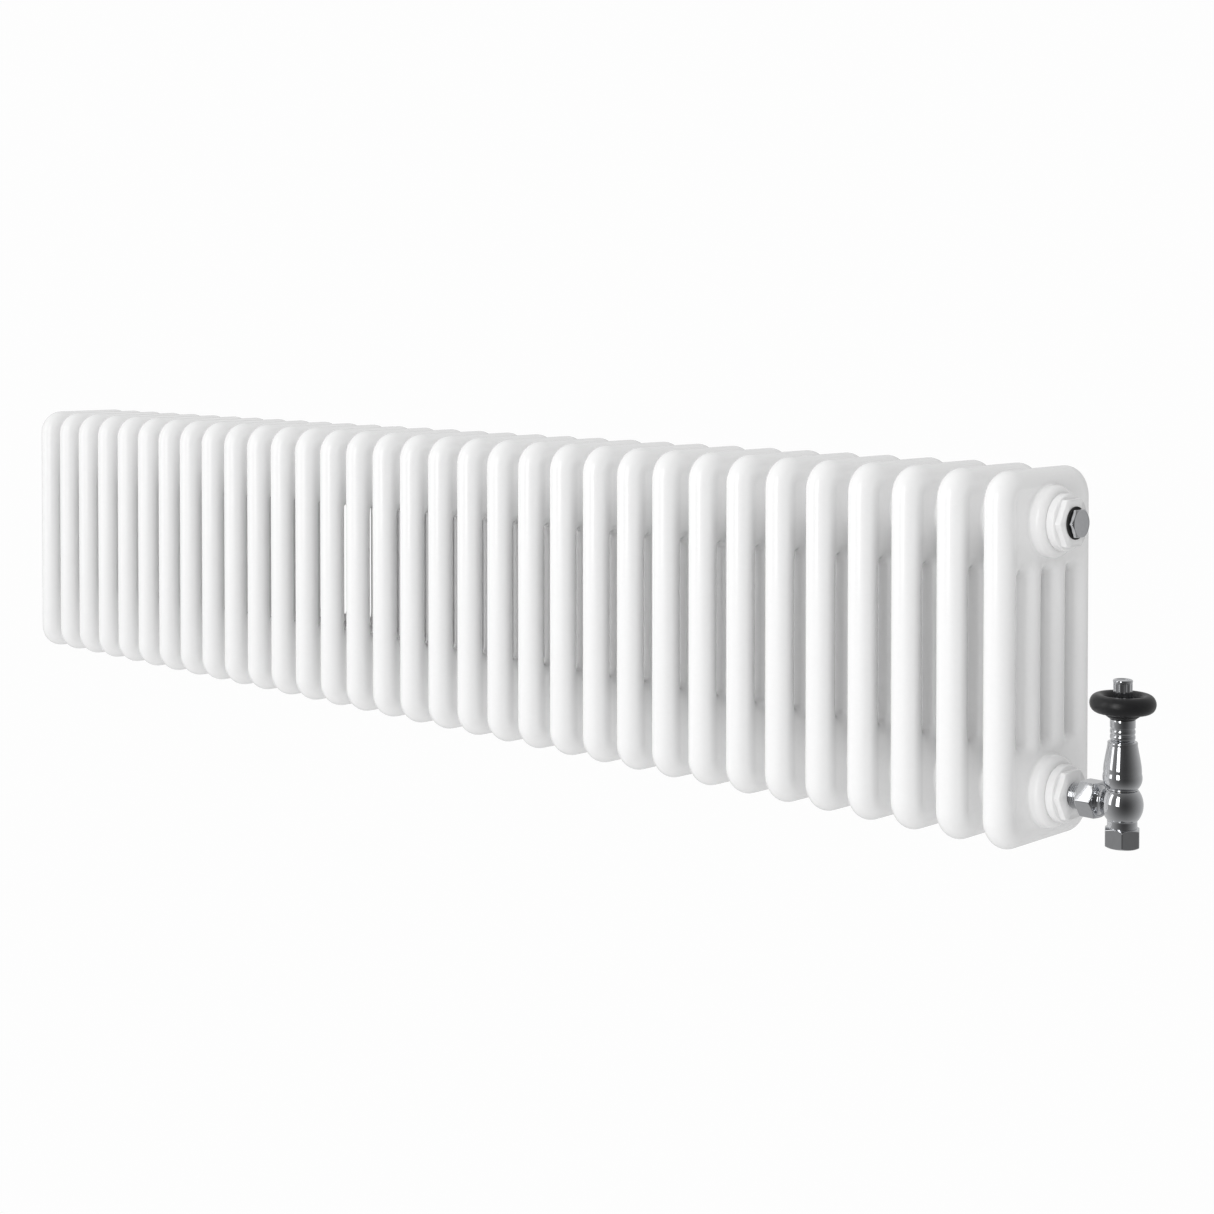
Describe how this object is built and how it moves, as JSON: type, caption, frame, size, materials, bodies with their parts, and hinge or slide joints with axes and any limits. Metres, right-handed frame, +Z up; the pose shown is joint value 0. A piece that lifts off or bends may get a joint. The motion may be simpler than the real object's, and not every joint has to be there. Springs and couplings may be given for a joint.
{
  "type": "column radiator with thermostatic valve",
  "caption": "Low wide steel column radiator in white enamel, with a chrome angled thermostatic valve, a black handwheel, a blanking plug and a bleed screw",
  "frame": {"origin": "Halfway along the row of sections, on the plane of the rear columns' backs, level with the upper hub axis", "axes": "+X runs along the radiator to the valve, +Y points back to the wall, +Z is up; the front faces -Y"},
  "size_m": [1.5854, 0.13, 0.3],
  "materials": {
    "white_enamel": "gloss",
    "chrome": "polished",
    "black_plastic": "satin",
    "black_rubber": "matt",
    "brass": "turned",
    "steel": "brushed"
  },
  "bodies": {
    "radiator": {"section_01": "white_enamel", "section_02": "white_enamel", "section_03": "white_enamel", "section_04": "white_enamel", "section_05": "white_enamel", "section_06": "white_enamel", "section_07": "white_enamel", "section_08": "white_enamel", "section_09": "white_enamel", "section_10": "white_enamel", "section_11": "white_enamel", "section_12": "white_enamel", "section_13": "white_enamel", "section_14": "white_enamel", "section_15": "white_enamel", "section_16": "white_enamel", "section_17": "white_enamel", "section_18": "white_enamel", "section_19": "white_enamel", "section_20": "white_enamel", "section_21": "white_enamel", "section_22": "white_enamel", "section_23": "white_enamel", "section_24": "white_enamel", "section_25": "white_enamel", "section_26": "white_enamel", "section_27": "white_enamel", "section_28": "white_enamel", "section_29": "white_enamel", "section_30": "white_enamel", "section_31": "white_enamel", "section_32": "white_enamel", "section_33": "white_enamel", "bush_top_right": "white_enamel", "bush_bottom_right": "white_enamel", "bush_top_left": "white_enamel", "bush_bottom_left": "white_enamel", "bush_gaskets": "black_rubber", "blank_plug": "chrome", "plug_o_rings": "black_rubber", "vent_plug": "chrome", "valve_tail": "chrome", "union_nut": "chrome", "valve_body": "chrome", "inlet_nut": "chrome", "olive": "brass", "bonnet": "chrome", "neck_sleeve": "chrome", "return_spring": "steel", "gland_insert": "brass", "spindle_o_ring": "black_rubber"},
    "wheel": {"handwheel": "black_plastic", "wheel_hub": "chrome", "wheel_cap": "chrome"},
    "sensor": {"sensor_capsule": "brass"},
    "spindle": {"valve_spindle": "steel", "valve_disc": "black_rubber"},
    "bleed": {"bleed_screw": "chrome"}
  },
  "joints": [
    {"name": "wheel_turn", "type": "hinge", "parent": "radiator", "child": "wheel", "pos_m": [0.7985, -0.065, -0.145], "axis": [0, 0, 1], "range_deg": [-150, 150]},
    {"name": "sensor_lift", "type": "slide", "parent": "radiator", "child": "sensor", "axis": [0, 0, 1], "range_m": [-0.0013, 0.0013]},
    {"name": "spindle_lift", "type": "slide", "parent": "radiator", "child": "spindle", "axis": [0, 0, 1], "range_m": [-0.0013, 0.0013], "deforming": ["return_spring"]},
    {"name": "bleed_turn", "type": "hinge", "parent": "radiator", "child": "bleed", "pos_m": [-0.755, -0.065, 0], "axis": [-1, 0, 0], "range_deg": [0, 180]}
  ],
  "couplings": [
    {"joint": "sensor_lift", "follows": "wheel_turn", "m_per_rad": 0.00047746},
    {"joint": "spindle_lift", "follows": "wheel_turn", "m_per_rad": 0.00047746}
  ]
}
